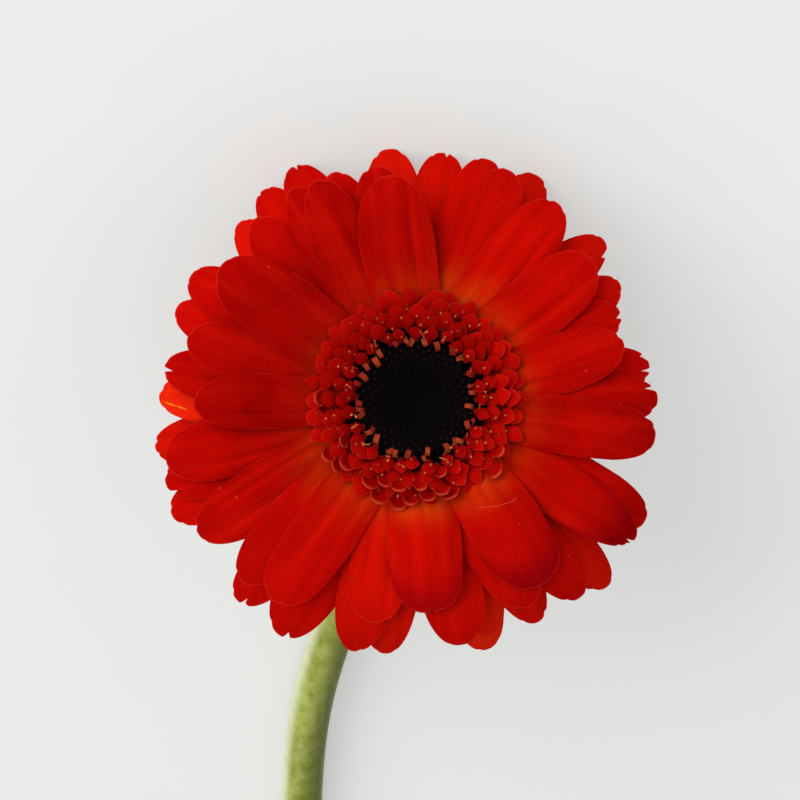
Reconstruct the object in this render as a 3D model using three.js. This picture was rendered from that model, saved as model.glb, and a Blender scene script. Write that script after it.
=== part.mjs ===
// A cut gerbera, lying on a table with its flower facing up.
//
// The flower has its own frame: the origin is where the rays join the head, +Z is the way the flower faces
// and +Y is twelve o'clock on its face. Every ray (petal) is a thin strap that runs outwards from under the
// ring of trans florets. The head leans on the tips of the lowest rays, and the stem lies along the table
// behind it, so the two together hold the flower still.
import * as THREE from "three";

// ---- Driving dimensions, in millimetres and degrees ----
const LEAN = 35; // how far the flower's face is from level
const GAP = 0.3; // clearance between neighbouring pieces

const EYE_RADIUS = 9.4; // the dark disc of unopened florets
const EYE_HEIGHT = 1.4; // at its rim
const EYE_DIMPLE = 0.9; // how much lower its middle is

const TRANS_FLORETS = 20; // in one row of the ring round the eye
const TRANS_SCALLOP = 0.5; // how far a row's edge steps back between two florets
const TUBE_HEIGHT = -0.5; // where each band of the ring, a tube, begins to open outwards over the rays
// The two bands: inner and outer radius of the tube, then [radius, height] points of the part that opens.
const INNER_BAND = {
  tube: [9.8, 10.35],
  skirt: [12.2, 2.2],
  lip: [12.9, 3.1],
  top: [11.6, 2.9],
  throat: [10, 1.9],
};
const OUTER_BAND = {
  tube: [10.65, 11.2],
  skirt: [16.4, 0.3],
  lip: [17.2, 1.3],
  top: [13.4, 2.9],
  throat: [12.6, 1.7],
};

const RAY_ROOT_RADIUS = 11.5;
const RAY_THICKNESS = 0.35;
const RAY_CAMBER = 0.4; // how much a ray's middle stands above its edges
const RAY_ROOT_WIDTH = 0.2; // width at the root, as a share of the full width
const RAY_SWELL = 1.3; // how fast a ray widens from its root
const RAY_WIDEST = 0.58; // where the rounded end begins, as a share of the length
const RAY_SPAN = 29; // root to tip of a typical ray
const RAY_ROOT_HEIGHT = -1.2;
const RAY_RISE = 5; // the rays rise like a shallow cup, over RAY_SPAN
const RAY_CUP = 3.5;
const RAY_RECURVE = 8.5; // and their ends bend back
const RAY_RECURVE_POWER = 6; // the higher, the later
const RAY_FAN = 1.3; // how much further apart the layers are at the tips than at the roots

const BOWL_TOP = -7; // the receptacle is a bowl below the rays' roots
const BOWL_RADIUS = 12.8;
const HEAD_DEPTH = 19; // from the rays' roots back to the top of the stem
const NECK_RADIUS = 3.7; // where the stem meets the head
const BRACTS = 21; // in each of the two rows that hold the head
const BRACT_THICKNESS = 0.8;
const BRACT_TIP = 4; // length of a bract's free tip
const BRACT_TIP_OUT = 1.2; // how far the tip turns outwards
const BRACT_NOTCH = 2; // depth of the gap between two tips
const BRACT_FOOT_ANGLE = 25; // angles on the bowl, from straight back
const INNER_BRACT_ANGLE = 90;
const OUTER_BRACT_ANGLE = 66;

const STEM_RADIUS = 3.6;
const NECK_LENGTH = 14; // over which the stem widens towards the head
const BEND_EASE = 0.35; // the longer, the rounder the stem's bends
const FOOT_SLANT = 0.6; // slope of the cut across the stem's foot
// The stem along the table, from the bend behind the head to the foot: [right, away, heading to the left].
const STEM_RUN = [
  [-4.3, 40, 17],
  [-16.7, 81, 13],
  [-20.3, 115, 3],
  [-16, 215, -9],
  [2, 305, -14],
];

// The rays as they lie, from the front of the flower to the back. Clock angles run clockwise from twelve
// o'clock. [angle of the tip, angle of the root, distance of the tip from the centre, width], and for a few
// that reach down to the table, how much further their tips droop.
const RAYS = [
  [145, 142, 35.5, 12],
  [176, 176, 33.8, 12],
  [353, 358, 35.5, 12],
  [304, 304, 37.2, 12],
  [99, 101, 38.4, 9.5],
  [75, 78, 34, 9.5],
  [52, 52, 35.5, 11],
  [215, 214, 39, 10.5],
  [269, 268, 35, 9],
  [122.5, 120.5, 41.5, 9],
  [335.5, 335, 38, 9],
  [191, 193, 36, 10],
  [285, 285, 37.3, 10],
  [36, 35, 38.4, 10.5],
  [223.5, 225, 40, 9.5],
  [151, 151, 37.5, 10.5],
  [238, 239, 40.7, 10],
  [22, 20.5, 39.4, 9.5],
  [350, 351, 37.5, 9.5],
  [169, 169, 39.8, 10.5],
  [330, 329, 38.8, 8],
  [277, 276.5, 40.2, 9],
  [67, 66, 35.2, 9],
  [90, 91, 38.4, 8.5],
  [256, 255, 41, 10.5],
  [318, 317.5, 38.4, 9.5],
  [194, 195, 41.5, 10],
  [17, 12, 40, 9.5],
  [340, 341, 38.3, 9],
  [118, 114, 41.5, 9.5],
  [140, 139, 41.2, 9],
  [82, 82, 37.6, 8.5],
  [60.5, 60.5, 37.3, 8.5],
  [209.5, 209, 44, 11],
  [251, 249, 42.3, 9.5],
  [298.5, 298.5, 41, 9.5],
  [151, 151, 40.7, 9],
  [162, 161, 39.7, 9],
  [6.8, 6.8, 40, 9, 5.6],
  [28.5, 28.5, 41.3, 9, 5.5],
  [332.5, 332.5, 42.5, 9.5, 3.0],
  [354, 354, 40.6, 9.5, 0.2],
  [324, 324, 42, 9, 4.95],
  [315, 312, 40.3, 9, 4.5],
  [270.5, 270, 41, 9.5],
  [221, 222, 43.4, 9],
  [290.5, 290.5, 41, 9.5],
  [244.5, 244, 43.6, 9],
  [259.5, 260, 42.7, 9],
  [49.8, 49.8, 39.4, 9],
  [134, 134, 43.4, 9],
  [187, 186.5, 41, 9],
  [164, 164, 42, 9.5],
];

const material = (color, roughness) => new THREE.MeshStandardMaterial({ color, roughness, metalness: 0 });
const materials = {
  ray: material(0xc80f06, 0.55),
  trans: material(0xa80c05, 0.6),
  eye: material(0x140609, 0.85),
  receptacle: material(0x93a85a, 0.7),
  bract: material(0x6d8440, 0.65),
  stem: material(0x869a45, 0.6),
};

const radians = THREE.MathUtils.degToRad;
const onFace = (clock, radius) =>
  new THREE.Vector2(Math.sin(radians(clock)), Math.cos(radians(clock))).multiplyScalar(radius);

// Moves every vertex of a geometry to place(vertex), in place.
function reshape(geometry, place) {
  const position = geometry.getAttribute("position");
  const vertex = new THREE.Vector3();
  for (let i = 0; i < position.count; i++) {
    vertex.fromBufferAttribute(position, i);
    place(vertex);
    position.setXYZ(i, vertex.x, vertex.y, vertex.z);
  }
  geometry.computeVertexNormals();
  return geometry;
}

function part(name, geometry, finish) {
  const mesh = new THREE.Mesh(geometry, finish);
  mesh.name = name;
  return mesh;
}

// ---- Rays ----
const RAY_END = 1 - RAY_WIDEST; // the rounded end's share of the length

// A ray's half width at a share of its length: it widens quickly from the root and ends in a half ellipse.
function halfWidth(ray, along) {
  const full = ray.width / 2;
  if (along > RAY_WIDEST) return full * Math.sqrt(Math.max(0, 1 - ((along - RAY_WIDEST) / RAY_END) ** 2));
  return full * (1 - (1 - RAY_ROOT_WIDTH) * (1 - along / RAY_WIDEST) ** RAY_SWELL);
}

// The height of a ray's top surface at a point of the face, side being -1 to 1 across it.
function rayHeight(ray, point, along, side) {
  const out = (point.length() - RAY_ROOT_RADIUS) / RAY_SPAN;
  const camber = RAY_CAMBER * Math.sin(Math.PI * THREE.MathUtils.clamp(along, 0, 1)) * (1 - side * side);
  const arch = RAY_RISE * out + RAY_CUP * out * out - RAY_RECURVE * out ** RAY_RECURVE_POWER;
  return RAY_ROOT_HEIGHT + arch + camber - ray.droop * out ** 3 - ray.depth * (1 + RAY_FAN * out);
}

// Where a point of the face lies on a ray, or null if it isn't over it.
function placeOnRay(ray, point) {
  const offset = point.clone().sub(ray.root);
  const along = offset.dot(ray.line) / ray.length;
  const across = offset.dot(ray.side);
  const half = halfWidth(ray, THREE.MathUtils.clamp(along, 0, 1)) + GAP;
  const pastEnd = (2 * GAP) / ray.length;
  if (along < -pastEnd || along > 1 + pastEnd || Math.abs(across) > half) return null;
  return { along, side: THREE.MathUtils.clamp(across / half, -1, 1) };
}

// A point of the face at u along a ray and s across it. Past RAY_WIDEST the grid bends into the rounded end.
function facePoint(ray, u, s) {
  let along = u;
  let across = s * halfWidth(ray, Math.min(u, RAY_WIDEST));
  if (u > RAY_WIDEST) {
    const end = (u - RAY_WIDEST) / RAY_END;
    along = RAY_WIDEST + RAY_END * end * Math.sqrt(1 - (s * s) / 2);
    across = (s * Math.sqrt(1 - (end * end) / 2) * ray.width) / 2;
  }
  const point = ray.root.clone().addScaledVector(ray.line, along * ray.length);
  return { point: point.addScaledVector(ray.side, across), along, side: s };
}

// How deep a ray has to lie to clear the ones in front of it, found at a grid of points all over it.
function clearDepth(ray, laid) {
  const [stepAlong, stepAcross] = [0.05, 0.2];
  const drop = 1.15 * RAY_THICKNESS + GAP; // a little more than the thickness, because the rays slope
  let depth = 0;
  for (let u = 0; u < 1 + stepAlong / 2; u += stepAlong) {
    for (let s = -1; s < 1 + stepAcross / 2; s += stepAcross) {
      const { point, along, side } = facePoint(ray, u, s);
      const spread = 1 + (RAY_FAN * (point.length() - RAY_ROOT_RADIUS)) / RAY_SPAN;
      for (const front of laid) {
        const over = placeOnRay(front, point);
        if (!over) continue;
        const limit = rayHeight(front, point, over.along, over.side) - drop;
        depth = Math.max(depth, (rayHeight(ray, point, along, side) - limit) / spread);
      }
    }
  }
  return depth;
}

// Lays the rays in order, each just under the ones it meets.
function layRays() {
  const laid = [];
  for (const [tipClock, rootClock, reach, width, droop = 0] of RAYS) {
    const root = onFace(rootClock, RAY_ROOT_RADIUS);
    const line = onFace(tipClock, reach).sub(root);
    const ray = { root, width, droop, length: line.length(), line: line.normalize(), depth: 0 };
    ray.side = new THREE.Vector2(line.y, -line.x);
    ray.depth = clearDepth(ray, laid);
    laid.push(ray);
  }
  return laid;
}

function rayGeometry(ray) {
  const box = new THREE.BoxGeometry(1, 1, 1, 6, 4, 1);
  return reshape(box, (v) => {
    const { point, along, side } = facePoint(ray, v.x + 0.5, -2 * v.y);
    const top = rayHeight(ray, point, along, side);
    v.set(point.x, point.y, v.z > 0 ? top : top - RAY_THICKNESS);
  });
}

// ---- Pieces turned about the flower's axis ----
// Turns a profile of [radius, height] points. One that doesn't end on the axis is closed on itself.
function turned(profile, segments) {
  const points = profile.map(([radius, height]) => new THREE.Vector2(radius, height));
  if (points[0].x > 0) points.push(points[0].clone());
  return new THREE.LatheGeometry(points, segments).rotateX(Math.PI / 2);
}

// 0 on the middle of each floret or bract of a row, and 1 between two of them.
const betweenTwo = (v, count) => (1 - Math.cos(count * Math.atan2(v.x, v.y))) / 2;

function scaleRadius(v, scale) {
  v.x *= scale;
  v.y *= scale;
}

function eyeGeometry() {
  const bottom = BOWL_TOP + GAP;
  const rimDrop = 0.6;
  const profile = [[0, bottom], [EYE_RADIUS, bottom], [EYE_RADIUS, EYE_HEIGHT - rimDrop]];
  for (const share of [0.93, 0.78, 0.55, 0.28, 0]) {
    profile.push([EYE_RADIUS * share, EYE_HEIGHT - EYE_DIMPLE * (1 - share)]);
  }
  return turned(profile, 32);
}

function transGeometry({ tube: [inside, outside], skirt, lip, top, throat }) {
  const bottom = BOWL_TOP + GAP;
  const tubeOut = [[inside, bottom], [outside, bottom], [outside, TUBE_HEIGHT]];
  const profile = [...tubeOut, skirt, lip, top, throat, [inside, TUBE_HEIGHT]];
  return reshape(turned(profile, 2 * TRANS_FLORETS), (v) => {
    const radius = Math.hypot(v.x, v.y);
    if (radius > top[0]) scaleRadius(v, 1 - (TRANS_SCALLOP * betweenTwo(v, TRANS_FLORETS)) / radius);
  });
}

// ---- The receptacle and its bracts ----
// A point of the bowl's profile at an angle from straight back, the bowl being larger by offset all round.
function bowlPoint(offset, angle) {
  const depth = HEAD_DEPTH + BOWL_TOP + offset;
  return [(BOWL_RADIUS + offset) * Math.sin(radians(angle)), BOWL_TOP - depth * Math.cos(radians(angle))];
}

function bowlArc(offset, from, to, steps) {
  return Array.from({ length: steps + 1 }, (_, i) => bowlPoint(offset, from + ((to - from) * i) / steps));
}

function receptacleGeometry() {
  const bottom = GAP - HEAD_DEPTH;
  return turned([[0, bottom], [NECK_RADIUS, bottom], ...bowlArc(0, 22, 90, 6), [0, BOWL_TOP]], 30);
}

// A row of bracts, joined into a cup round the bowl with a tip and a notch for each of them.
function bractsGeometry(offset, rimAngle) {
  const inside = bowlArc(offset, BRACT_FOOT_ANGLE, rimAngle, 5);
  const outside = bowlArc(offset + BRACT_THICKNESS, BRACT_FOOT_ANGLE, rimAngle, 5);
  const rim = outside.at(-1)[1];
  return reshape(turned([...outside, ...inside.reverse()], 2 * BRACTS), (v) => {
    const tip = THREE.MathUtils.clamp(1 - (rim - v.z) / BRACT_TIP, 0, 1);
    const gap = betweenTwo(v, BRACTS);
    scaleRadius(v, 1 + (BRACT_TIP_OUT * tip * tip * (1 - gap)) / Math.hypot(v.x, v.y));
    v.z -= BRACT_NOTCH * tip * gap;
  });
}

// ---- The stem ----
const UP = new THREE.Vector3(0, 0, 1);

// The stem's centre line: from the neck, back and down to the table and then along it.
function stemLine(neck, backwards) {
  const stations = [{ point: neck, heading: backwards }];
  for (const [right, away, angle] of STEM_RUN) {
    const heading = new THREE.Vector3(-Math.sin(radians(angle)), -Math.cos(radians(angle)), 0);
    stations.push({ point: new THREE.Vector3(right, -away, STEM_RADIUS), heading });
  }
  const line = new THREE.CurvePath();
  for (let i = 1; i < stations.length; i++) {
    const [from, to] = [stations[i - 1], stations[i]];
    const handle = BEND_EASE * from.point.distanceTo(to.point);
    const leave = from.point.clone().addScaledVector(from.heading, handle);
    const arrive = to.point.clone().addScaledVector(to.heading, -handle);
    line.add(new THREE.CubicBezierCurve3(from.point, leave, arrive, to.point));
  }
  return line;
}

function stemGeometry(line) {
  const length = line.getLength();
  const rod = new THREE.CylinderGeometry(1, 1, 1, 12, 44);
  return reshape(rod, (v) => {
    const along = THREE.MathUtils.clamp(0.5 + v.y, 0, 1);
    const heading = line.getTangentAt(along);
    const side = heading.clone().cross(UP).normalize();
    const top = side.clone().cross(heading);
    const neck = Math.max(0, 1 - (along * length) / NECK_LENGTH);
    const radius = STEM_RADIUS + (NECK_RADIUS - STEM_RADIUS) * neck;
    const cut = along === 1 ? FOOT_SLANT * v.z : 0;
    const [across, above] = [v.x * radius, v.z * radius];
    v.copy(line.getPointAt(along)).addScaledVector(side, across).addScaledVector(top, above);
    v.addScaledVector(heading, cut * radius);
  });
}

// ---- The flower ----
const head = new THREE.Group();
layRays().forEach((ray, i) => {
  head.add(part(`ray_${String(i + 1).padStart(2, "0")}`, rayGeometry(ray), materials.ray));
});
head.add(part("disc_florets", eyeGeometry(), materials.eye));
head.add(part("trans_florets_inner", transGeometry(INNER_BAND), materials.trans));
head.add(part("trans_florets_outer", transGeometry(OUTER_BAND), materials.trans));
head.add(part("receptacle", receptacleGeometry(), materials.receptacle));
head.add(part("bracts_inner", bractsGeometry(GAP, INNER_BRACT_ANGLE), materials.bract));
head.add(part("bracts_outer", bractsGeometry(2 * GAP + BRACT_THICKNESS, OUTER_BRACT_ANGLE), materials.bract));
head.rotation.x = radians(-LEAN);
head.position.z = -new THREE.Box3().setFromObject(head, true).min.z;
head.updateMatrixWorld();

const backwards = new THREE.Vector3(0, 0, -1).transformDirection(head.matrixWorld);
const neck = head.localToWorld(new THREE.Vector3(0, 0, -HEAD_DEPTH));
const stem = part("stem", stemGeometry(stemLine(neck, backwards)), materials.stem);

// The whole flower, with the origin under the middle of it.
const gerbera = new THREE.Group();
gerbera.add(head, stem);
const box = new THREE.Box3().setFromObject(gerbera, true);
gerbera.position.set(-(box.min.x + box.max.x) / 2, -(box.min.y + box.max.y) / 2, -box.min.z);

export default gerbera;
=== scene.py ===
# A red gerbera, cut and laid on a table. It is put together from the stalk up: the stalk, the green bowl on
# top of it, the scales round the bowl, the long petals from the back to the front, and the rings of small
# florets in towards the dark eye.
import math
import random
from types import SimpleNamespace

import bpy
import numpy as np
from mathutils import Matrix, Vector
from mathutils.bvhtree import BVHTree


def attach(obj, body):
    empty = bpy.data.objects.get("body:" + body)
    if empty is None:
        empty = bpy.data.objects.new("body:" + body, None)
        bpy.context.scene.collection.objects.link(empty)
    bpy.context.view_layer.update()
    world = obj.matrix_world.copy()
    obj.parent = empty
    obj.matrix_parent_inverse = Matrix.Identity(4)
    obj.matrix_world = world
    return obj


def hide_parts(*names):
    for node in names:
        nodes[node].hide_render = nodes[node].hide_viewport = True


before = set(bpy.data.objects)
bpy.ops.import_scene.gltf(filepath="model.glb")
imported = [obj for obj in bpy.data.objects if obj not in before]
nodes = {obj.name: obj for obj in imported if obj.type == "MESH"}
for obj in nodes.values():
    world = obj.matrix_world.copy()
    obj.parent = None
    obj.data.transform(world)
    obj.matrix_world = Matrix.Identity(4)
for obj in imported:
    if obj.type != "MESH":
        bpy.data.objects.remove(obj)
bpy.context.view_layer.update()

# ---- Stalk ----
# One leafless green flower stalk, juicy, with faint fibres along it. It grows straight back out of the head,
# bends down to the table and lies along it to the cut.
MM = 0.001
LEAN = math.radians(35)  # of the flower's face from level
HEAD_FOOT = -6.7  # where the eye's florets grow, below the middle of the head
HEAD_DEPTH = 19  # from the middle of the head back to the stalk
STALK_RADIUS = 3.6
NECK_SWELL = 1.03  # the stalk is thicker where it meets the head
BEND_EASE = 0.35  # how far a station of the stalk keeps its heading, as a share of the way to the next
STALK_ROUND_STEPS = 10
STALK_LENGTH_STEPS = 40  # between two stations
WELD = 0.01  # points closer than this are one
# Places on the table, from the bend behind the head to the cut: [right, away, heading to the left].
STALK_RUN = [[-4.3, 40, 17], [-16.7, 81, 13], [-20.3, 115, 3], [-16, 215, -9], [2, 305, -14]]
CUT_SLANT = 0.6  # slope of the cut


def middle(points):
    """The middle of the box round some points."""
    lows, highs = ([pick(p[i] for p in points) for i in range(3)] for pick in (min, max))
    return (Vector(lows) + Vector(highs)) / 2


# The head's own frame, in millimetres: the petals join it at its origin, +Z is the way the flower faces and
# +Y is twelve o'clock on its face.
tilt = Matrix.Rotation(-LEAN, 4, "X")
eye_points = [tilt.inverted() @ v.co for v in nodes["disc_florets"].data.vertices]
joint = middle(eye_points)
joint.z = min(p.z for p in eye_points) - HEAD_FOOT * MM
HEAD = tilt @ Matrix.Translation(joint) @ Matrix.Scale(MM, 4)
joint_at = HEAD.translation
facing = tilt @ Vector((0, 0, 1))


def deselect():
    bpy.ops.object.select_all(action="DESELECT")


def only(piece):
    """Makes one piece the selected and active one, for the operators that follow."""
    deselect()
    piece.select_set(True)
    bpy.context.view_layer.objects.active = piece


def finish_with(piece, kind, **settings):
    """Adds a modifier to a piece and applies it."""
    only(piece)
    modifier = piece.modifiers.new(kind.lower(), kind)
    for key, value in settings.items():
        setattr(modifier, key, value)
    bpy.ops.object.modifier_apply(modifier=modifier.name)


def smooth(piece, angle):
    """Shades a piece smooth, but for the edges that are sharper than an angle in degrees."""
    only(piece)
    bpy.ops.object.shade_smooth_by_angle(angle=math.radians(angle))


def weld(piece, distance):
    """Joins the points of a piece that are this close together."""
    only(piece)
    bpy.ops.object.mode_set(mode="EDIT")
    bpy.ops.mesh.select_all(action="SELECT")
    bpy.ops.mesh.remove_doubles(threshold=distance)
    bpy.ops.object.mode_set(mode="OBJECT")


def belongs(piece, slot, *replaced):
    """Every piece grows on the one flower, and may stand for nodes of the frame, which it hides."""
    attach(piece, "root")
    if replaced:
        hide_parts(*replaced)


class Wire:
    """A value that changes over a surface. Arithmetic on it adds the nodes that work it out."""

    def __init__(self, tree, socket):
        self.tree = tree
        self.socket = socket

    def node(self, kind, sockets, output=0, **settings):
        """A node of any kind: its settings are set first, and then its sockets."""
        made = self.tree.nodes.new("ShaderNode" + kind)
        for key, value in settings.items():
            setattr(made, key, value)
        for key, value in sockets.items():
            if isinstance(value, Wire):
                self.tree.links.new(value.socket, made.inputs[key])
            else:
                made.inputs[key].default_value = value
        return Wire(self.tree, made.outputs[output])

    def maths(self, operation, first, second):
        return self.node("Math", {0: first, 1: second}, operation=operation)

    def __add__(self, other):
        return self.maths("ADD", self, other)

    def __sub__(self, other):
        return self.maths("SUBTRACT", self, other)

    def __rsub__(self, other):
        return self.maths("SUBTRACT", other, self)

    def __mul__(self, other):
        return self.maths("MULTIPLY", self, other)

    def __abs__(self):
        return self.maths("ABSOLUTE", self, 0)

    __radd__ = __add__
    __rmul__ = __mul__

    def larger(self, other):
        return self.maths("MAXIMUM", self, other)

    def step(self, low, high):
        """0 up to low, 1 past high and a smooth curve between them. Low may be the larger of the two."""
        sockets = {"Value": self, "From Min": low, "From Max": high}
        return self.node("MapRange", sockets, interpolation_type="SMOOTHSTEP")

    def mix(self, nought, one):
        """One colour where this is 0 and another where it is 1."""
        return self.node("Mix", {0: self, 6: nought, 7: one}, output=2, data_type="RGBA")

    def parts(self):
        """The three numbers of a vector."""
        split = self.node("SeparateXYZ", {0: self})
        return [Wire(self.tree, output) for output in split.socket.node.outputs]

    def grain(self, scale, detail=3.0, stretch=(1, 1, 1)):
        """Noise at this vector, stretched along its axes."""
        at = self.node("VectorMath", {0: self, 1: stretch}, operation="MULTIPLY")
        return self.node("TexNoise", {"Vector": at, "Scale": scale, "Detail": detail})

    def attribute(self, name):
        """A value that was written on the points of the mesh."""
        return self.node("Attribute", {}, output=2, attribute_name=name)

    def into(self, shader, name):
        """Feeds one socket of a shader, or of the material's output."""
        self.tree.links.new(self.socket, shader.inputs[name])


def colour(red, green, blue):
    """A colour from the 0 to 255 values that a screen shows."""
    return *(((c / 255 + 0.055) / 1.055) ** 2.4 if c > 10 else c / 3294.6 for c in (red, green, blue)), 1


def new_material(name, **constants):
    """A material, its shader and four wires: place, along and across the piece's own map, and its tone."""
    material = bpy.data.materials.new(name)
    material.use_nodes = True
    tree = material.node_tree
    shader = tree.nodes["Principled BSDF"]
    for key, value in constants.items():
        shader.inputs[key.replace("_", " ")].default_value = value
    place = Wire(tree, None).node("TexCoord", {}, output="Object")
    along, across, _ = place.node("UVMap", {}, uv_map="UVMap").parts()
    tone = place.attribute("tone")
    return material, shader, SimpleNamespace(place=place, along=along, across=across, tone=tone)


def bump(height, shader, strength, distance):
    relief = height.node("Bump", {"Height": height, "Strength": strength, "Distance": distance})
    relief.into(shader, "Normal")


def stalk_stations():
    """Points of the stalk's middle line and the way that it heads there, from the neck to the cut."""
    stations = [(HEAD @ Vector((0, 0, -HEAD_DEPTH)), -facing)]
    for right, away, heading in STALK_RUN:
        turn = math.radians(heading)
        at = Vector((joint_at.x + right * MM, joint_at.y - away * MM, STALK_RADIUS * MM))
        stations.append((at, Vector((-math.sin(turn), -math.cos(turn), 0))))
    return stations


stations = stalk_stations()
deselect()
bpy.ops.curve.primitive_bezier_curve_add()
stalk = bpy.context.object
stalk.name = "stalk"
line = stalk.data
line.dimensions = "3D"
line.bevel_depth = STALK_RADIUS * MM
line.bevel_resolution = STALK_ROUND_STEPS
line.resolution_u = STALK_LENGTH_STEPS
line.use_fill_caps = True
line.splines[0].bezier_points.add(len(stations) - 2)
for i, knot in enumerate(line.splines[0].bezier_points):
    at, heading = stations[i]
    before = BEND_EASE * (at - stations[max(i - 1, 0)][0]).length
    after = BEND_EASE * (at - stations[min(i + 1, len(stations) - 1)][0]).length
    knot.handle_left_type = knot.handle_right_type = "FREE"
    knot.co = at
    knot.handle_left = at - heading * before
    knot.handle_right = at + heading * after
line.splines[0].bezier_points[0].radius = NECK_SWELL
stalk.matrix_world = Matrix.Identity(4)
only(stalk)
bpy.ops.object.convert(target="MESH")
weld(stalk, WELD * MM)
bpy.ops.object.mode_set(mode="EDIT")
bpy.ops.mesh.normals_make_consistent(inside=False)
bpy.ops.object.mode_set(mode="OBJECT")
cut_at, cut_heading = stations[-1]
for v in stalk.data.vertices:
    past = (v.co - cut_at).dot(cut_heading)
    if past > -WELD * MM:
        v.co += cut_heading * CUT_SLANT * (v.co.z - cut_at.z)
smooth(stalk, 40)
belongs(stalk, "stem", "stem")
# How far each point of the stalk faces left, for the painted light and shade across it.
painted_light_side = [0.5 - 0.5 * v.normal.x for v in stalk.data.vertices]
stalk.data.attributes.new("tone", "FLOAT", "POINT").data.foreach_set("value", painted_light_side)

material, shader, on = new_material(
    "downy_green_stalk", Roughness=0.6, Specular_IOR_Level=0.2,
    Sheen_Weight=0.4, Sheen_Roughness=0.35, Sheen_Tint=colour(240, 245, 225),
)
fibres = on.place.grain(900.0, 4.0, stretch=(1, 0.06, 1))
mottle = on.place.grain(120.0, 2.0, stretch=(1, 0.4, 1))
patches = on.place.grain(420.0, 4.0)
green = mottle.step(0.3, 0.7).mix(colour(131, 140, 47), colour(158, 166, 75))
green = (patches.step(0.48, 0.72) * 0.55).mix(green, colour(172, 180, 110))
green = (patches.step(0.5, 0.3) * 0.6).mix(green, colour(106, 116, 30))
# Painted shade down the stalk's right side, away from the window, and a painted pale highlight along its left
# edge.
green = on.tone.step(0.7, 0.05).mix(green, colour(82, 91, 18))
green = (on.tone.step(0.78, 1.0) * 0.8).mix(green, colour(212, 214, 184))
green = (fibres.step(0.45, 0.8) * 0.25).mix(green, colour(160, 170, 90))
green.into(shader, "Base Color")
bump(fibres, shader, 0.15, 0.0002)
stalk.data.materials.append(material)

# ---- Down on the stalk ----
# Fine pale hairs that stand out all over the stalk. One can hardly be seen alone, but together they soften
# the stalk's edge. Each grows out of the skin as a thin pointed spike, and none goes into the table.
HAIRS = 11000
HAIR_RADIUS = 0.014
HAIR_LENGTHS = [0.3, 0.8]
HAIR_LEAN = 0.5  # how far one may lean from upright, as a slope
hair_chance = random.Random(3)


def place_on(face, mesh):
    """A random place on a face of four corners."""
    a, b, c, d = (mesh.vertices[i].co for i in face.vertices)
    across = hair_chance.random()
    return a.lerp(b, across).lerp(d.lerp(c, across), hair_chance.random())


def add_hair(at, normal, points, faces):
    """Adds the four corners and four faces of one hair."""
    lean = Vector([hair_chance.uniform(-HAIR_LEAN, HAIR_LEAN) for _ in range(3)])
    tip = at + (normal + lean).normalized() * hair_chance.uniform(*HAIR_LENGTHS) * MM
    if tip.z < HAIR_RADIUS * MM:
        return
    side = normal.orthogonal().normalized() * HAIR_RADIUS * MM
    first = len(points)
    for i in range(3):
        points.append(at + Matrix.Rotation(math.radians(120 * i), 3, normal) @ side)
    points.append(tip)
    for corners in ((0, 2, 1), (0, 1, 3), (1, 2, 3), (2, 0, 3)):
        faces.append([first + corner for corner in corners])


skin = [face for face in stalk.data.polygons if len(face.vertices) == 4]
points, faces = [], []
for face in hair_chance.choices(skin, [face.area for face in skin], k=HAIRS):
    add_hair(place_on(face, stalk.data), face.normal, points, faces)
hair_mesh = bpy.data.meshes.new("stalk_down")
hair_mesh.from_pydata(points, [], faces)
stalk_down = bpy.data.objects.new("stalk_down", hair_mesh)
bpy.context.collection.objects.link(stalk_down)
belongs(stalk_down, "stem")
material, shader, on = new_material("pale_down", Roughness=0.6)
on.place.grain(300.0).mix(colour(160, 169, 92), colour(204, 211, 164)).into(shader, "Base Color")
stalk_down.data.materials.append(material)

# ---- Bowl of the head ----
# The fleshy green receptacle that everything grows from: half a ball that swells out of the stalk, hidden
# from the front. Its flat top, the seat of the florets, is painted near black as painted shade.
BOWL_RADIUS = 12.8
BOWL_TOP = -7
BOWL_SIDES = 48
BOWL_FOOT = 18  # angle on the bowl, from straight back, where the stalk meets it
BOWL_ARCS = 12  # steps round the bowl from the stalk to its rim
BOWL_LIP = 1.2  # width of the rim round the seat of the florets
SEAT_RISE = 0.2
SEAT_FACING = 0.9  # how nearly a face of the bowl faces as the flower does, if it is part of the seat


def bowl_point(offset, angle):
    """Radius and height of the bowl's outline, offset outwards, at an angle from straight back."""
    turn = math.radians(angle)
    deep = HEAD_DEPTH + BOWL_TOP + offset
    return (BOWL_RADIUS + offset) * math.sin(turn), BOWL_TOP - deep * math.cos(turn)


deselect()
foot_radius, foot_height = bowl_point(0, BOWL_FOOT)
bpy.ops.mesh.primitive_circle_add(
    vertices=BOWL_SIDES, radius=foot_radius, location=(0, 0, foot_height), fill_type="NGON"
)
bowl = bpy.context.object
bowl.name = "green_bowl"
bpy.ops.object.mode_set(mode="EDIT")
radius, height = foot_radius, foot_height
for i in range(1, BOWL_ARCS + 1):
    next_radius, next_height = bowl_point(0, BOWL_FOOT + (90 - BOWL_FOOT) * i / BOWL_ARCS)
    rise = next_height - height
    bpy.ops.mesh.extrude_region_move(TRANSFORM_OT_translate={"value": (0, 0, rise)})
    bpy.ops.transform.resize(value=(next_radius / radius, next_radius / radius, 1))
    radius, height = next_radius, next_height
bpy.ops.mesh.inset(thickness=BOWL_LIP)
bpy.ops.transform.translate(value=(0, 0, SEAT_RISE))
bpy.ops.mesh.select_all(action="SELECT")
bpy.ops.mesh.normals_make_consistent(inside=False)
bpy.ops.object.mode_set(mode="OBJECT")
bpy.ops.object.transform_apply(location=True)
bowl.data.transform(HEAD)
smooth(bowl, 40)
belongs(bowl, "receptacle", "receptacle")

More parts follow.
